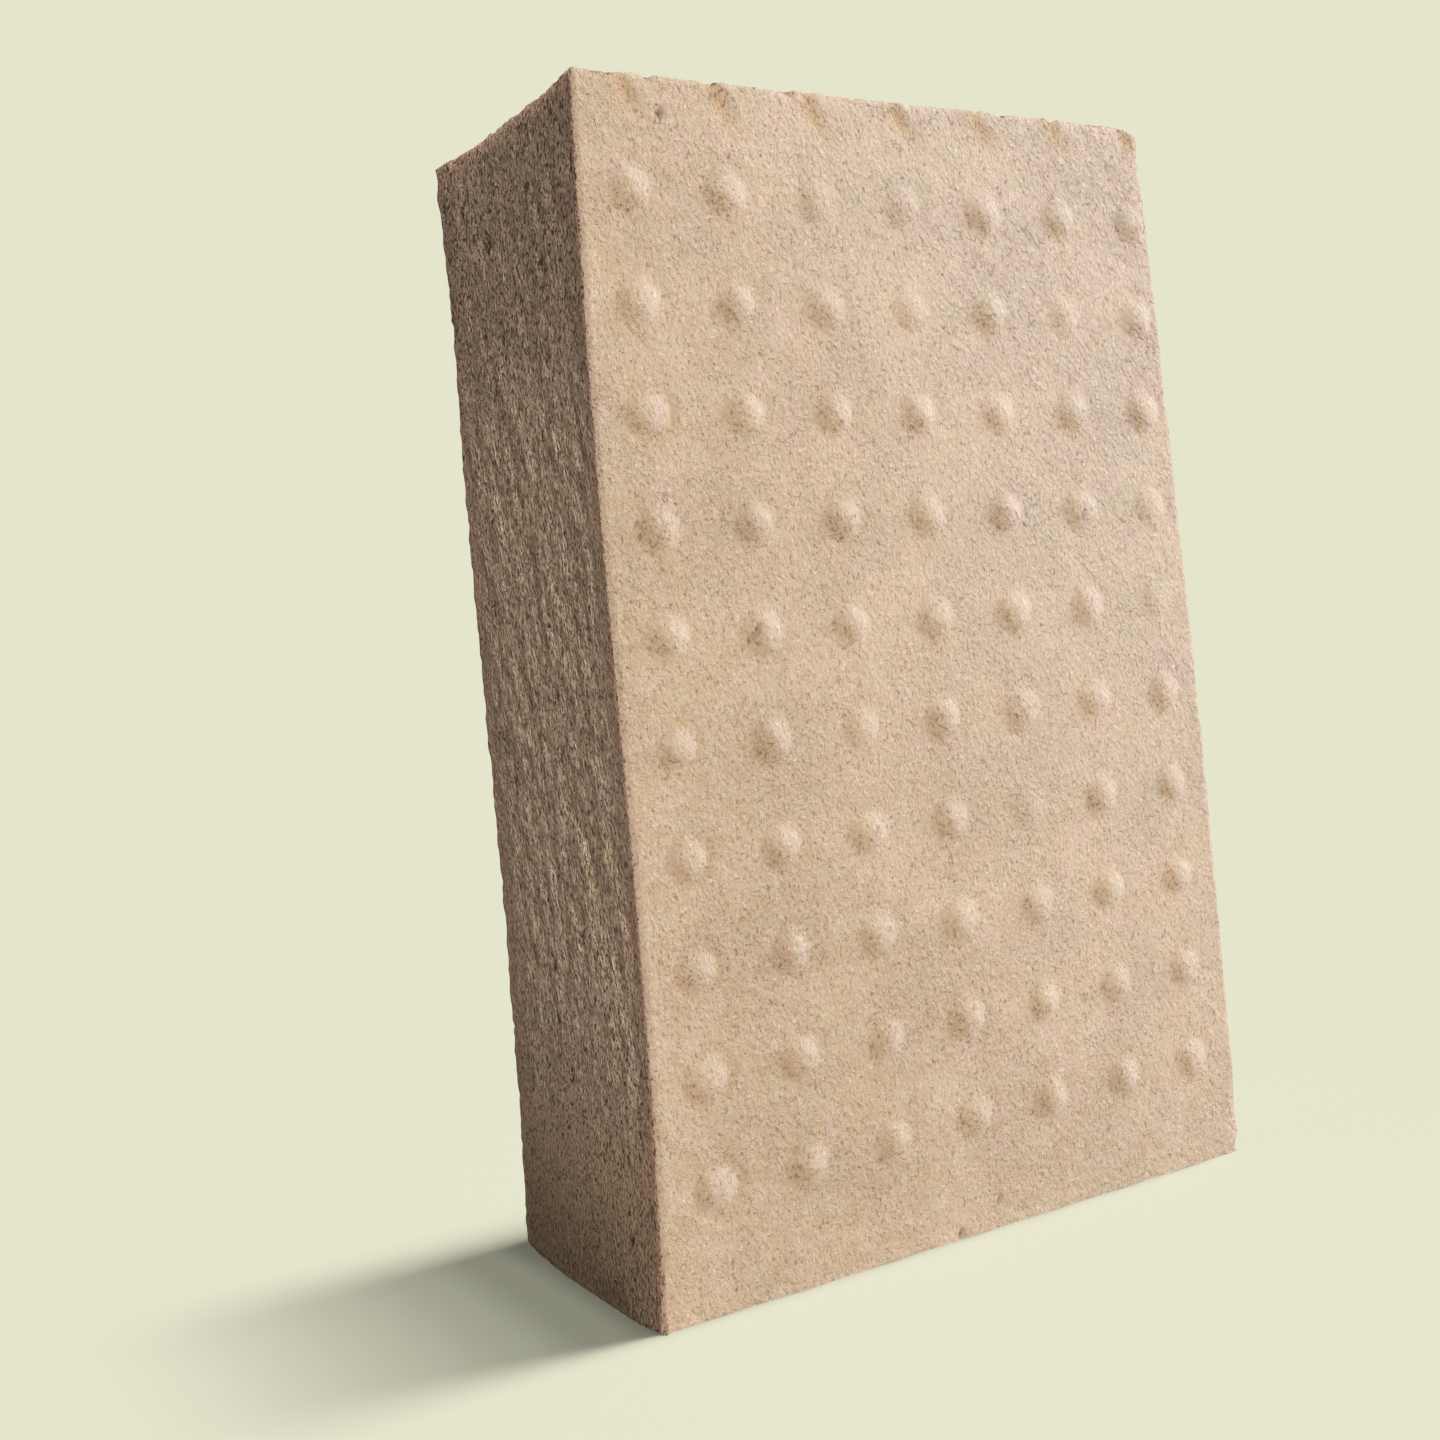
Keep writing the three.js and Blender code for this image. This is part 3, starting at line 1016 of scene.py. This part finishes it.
def studio_air(stage):
    """A world that shows the backdrop colour and lights everything evenly and weakly."""
    world = bpy.data.worlds.new("studio_air")
    world.use_nodes = True
    bench = Bench(world.node_tree)
    seen = bench.node("ShaderNodeBackground", sockets={"Color": (*stage.backdrop, 1.0)})
    air = bench.node("ShaderNodeBackground",
                     sockets={"Color": (1.0, 1.0, 1.0, 1.0), "Strength": stage.ambient})
    both = bench.sight(air, seen)
    bench.node("ShaderNodeOutputWorld", sockets={"Surface": both.outputs[0]})
    return world


# ---------------------------------------------------------------------------
# Operators
# ---------------------------------------------------------------------------


class TOFU_OT_block(bpy.types.Operator):
    """Makes the block's visible surface and its curd finish"""

    bl_idname = "tofu.block"
    bl_label = "Tofu Block"

    def execute(self, context):
        points, quads, ring_count, shares = block_surface(context.scene.tofu_shape)
        piece = based_mesh("tofu_curd", points, quads, range(ring_count - 1, -1, -1))
        for name, values in shares.items():
            point_attribute(piece, name, values)
        piece.data.materials.append(curd_material(context.scene.tofu_finish))
        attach(piece, "root")
        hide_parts(BLOCK_NODE)
        return {"FINISHED"}


def direction_to(azimuth, elevation):
    """The level direction from +Y towards +X by the azimuth, raised by the elevation."""
    return Vector((math.sin(azimuth) * math.cos(elevation),
                   math.cos(azimuth) * math.cos(elevation), math.sin(elevation)))


def add_sun(name, azimuth, elevation, width, strength, receiver, casts_shadow=True):
    """A far light from the given direction, in degrees, that falls on the receiver alone.
    The width is how large it looks."""
    light = bpy.data.lights.new(name, "SUN")
    light.energy = strength
    light.angle = math.radians(width)
    light.use_shadow = casts_shadow
    lamp = bpy.data.objects.new(name, light)
    towards = direction_to(math.radians(azimuth), math.radians(elevation))
    lamp.rotation_euler = towards.to_track_quat("Z", "Y").to_euler()
    bpy.context.scene.collection.objects.link(lamp)
    lit = bpy.data.collections.new(name + "_falls_on")
    lit.objects.link(receiver)
    lamp.light_linking.receiver_collection = lit


def add_floor_lights(stage, floor):
    """An even light on the floor without shadows, and the row of lights that leans down to
    the right and throws the long soft shadow."""
    even_strength = stage.floor_light * (1 - STRIP_SHARE)
    add_sun("even_light", 0, 90, 5, even_strength, floor, casts_shadow=False)
    for number, width in enumerate(np.linspace(*STRIP_WIDTHS, STRIP_COUNT)):
        lean = math.atan(STRIP_END_SLOPE * (number + 0.5) / STRIP_COUNT)
        strength = stage.floor_light * STRIP_SHARE / STRIP_COUNT / math.cos(lean)
        elevation = 90 - math.degrees(lean)
        add_sun(f"strip_light_{number}", STRIP_AZIMUTH, elevation, width, strength, floor)


def add_camera(stage):
    """The camera at its place, looking along its azimuth and elevation, and rolled."""
    forward = direction_to(stage.camera_azimuth, stage.camera_elevation)
    level_right = forward.cross(Vector((0, 0, 1))).normalized()
    level_up = level_right.cross(forward)
    turn, lift = math.cos(stage.camera_roll), math.sin(stage.camera_roll)
    right = turn * level_right - lift * level_up
    up = lift * level_right + turn * level_up
    camera = bpy.data.objects.new("camera", bpy.data.cameras.new("camera"))
    camera.data.sensor_width = SENSOR_WIDTH
    camera.data.lens = stage.lens
    camera.data.clip_start = MM
    camera.data.clip_end = 2 * stage.floor_size
    turned = Matrix((right, up, -forward)).transposed().to_4x4()
    camera.matrix_world = Matrix.Translation(Vector(stage.camera_place)) @ turned
    bpy.context.scene.collection.objects.link(camera)
    return camera


class TOFU_OT_stage(bpy.types.Operator):
    """Makes the floor, the lights and the camera"""

    bl_idname = "tofu.stage"
    bl_label = "Studio Stage"

    def execute(self, context):
        scene = context.scene
        stage = scene.tofu_stage
        scene.view_settings.view_transform = "Standard"
        scene.world = studio_air(stage)

        half = stage.floor_size / 2 / MM
        corners = np.array([[-half, -half, 0], [half, -half, 0], [half, half, 0], [-half, half, 0]])
        floor = based_mesh("studio_floor", corners, np.array([[0, 1, 2, 3]]))
        floor.data.materials.append(floor_material(stage))

        block = bpy.data.objects["tofu_curd"]
        for name, azimuth, elevation, width in BLOCK_LIGHTS:
            add_sun(name, azimuth, elevation, width, getattr(stage, name), block)
        add_floor_lights(stage, floor)
        scene.camera = add_camera(stage)
        return {"FINISHED"}


class TOFU_PT_panel(bpy.types.Panel):
    """Sidebar panel with the block's settings and operators"""

    bl_label = "Tofu Block"
    bl_idname = "TOFU_PT_panel"
    bl_space_type = "VIEW_3D"
    bl_region_type = "UI"
    bl_category = "Tofu"

    def draw(self, context):
        scene = context.scene
        for group, operator in ((scene.tofu_shape, "tofu.block"), (scene.tofu_finish, "tofu.block"),
                                (scene.tofu_stage, "tofu.stage")):
            box = self.layout.box()
            for name in type(group).__annotations__:
                box.prop(group, name)
            box.operator(operator)


CLASSES = (TofuShape, TofuFinish, TofuStage, TOFU_OT_block, TOFU_OT_stage, TOFU_PT_panel)
GROUPS = {"tofu_shape": TofuShape, "tofu_finish": TofuFinish, "tofu_stage": TofuStage}


def register():
    for cls in CLASSES:
        bpy.utils.register_class(cls)
    for name, group in GROUPS.items():
        setattr(bpy.types.Scene, name, bpy.props.PointerProperty(type=group))


def unregister():
    for name in GROUPS:
        delattr(bpy.types.Scene, name)
    for cls in reversed(CLASSES):
        bpy.utils.unregister_class(cls)


def main():
    """Makes the block and its stage."""
    register()
    bpy.ops.tofu.block()
    bpy.ops.tofu.stage()


if __name__ == "__main__":
    main()
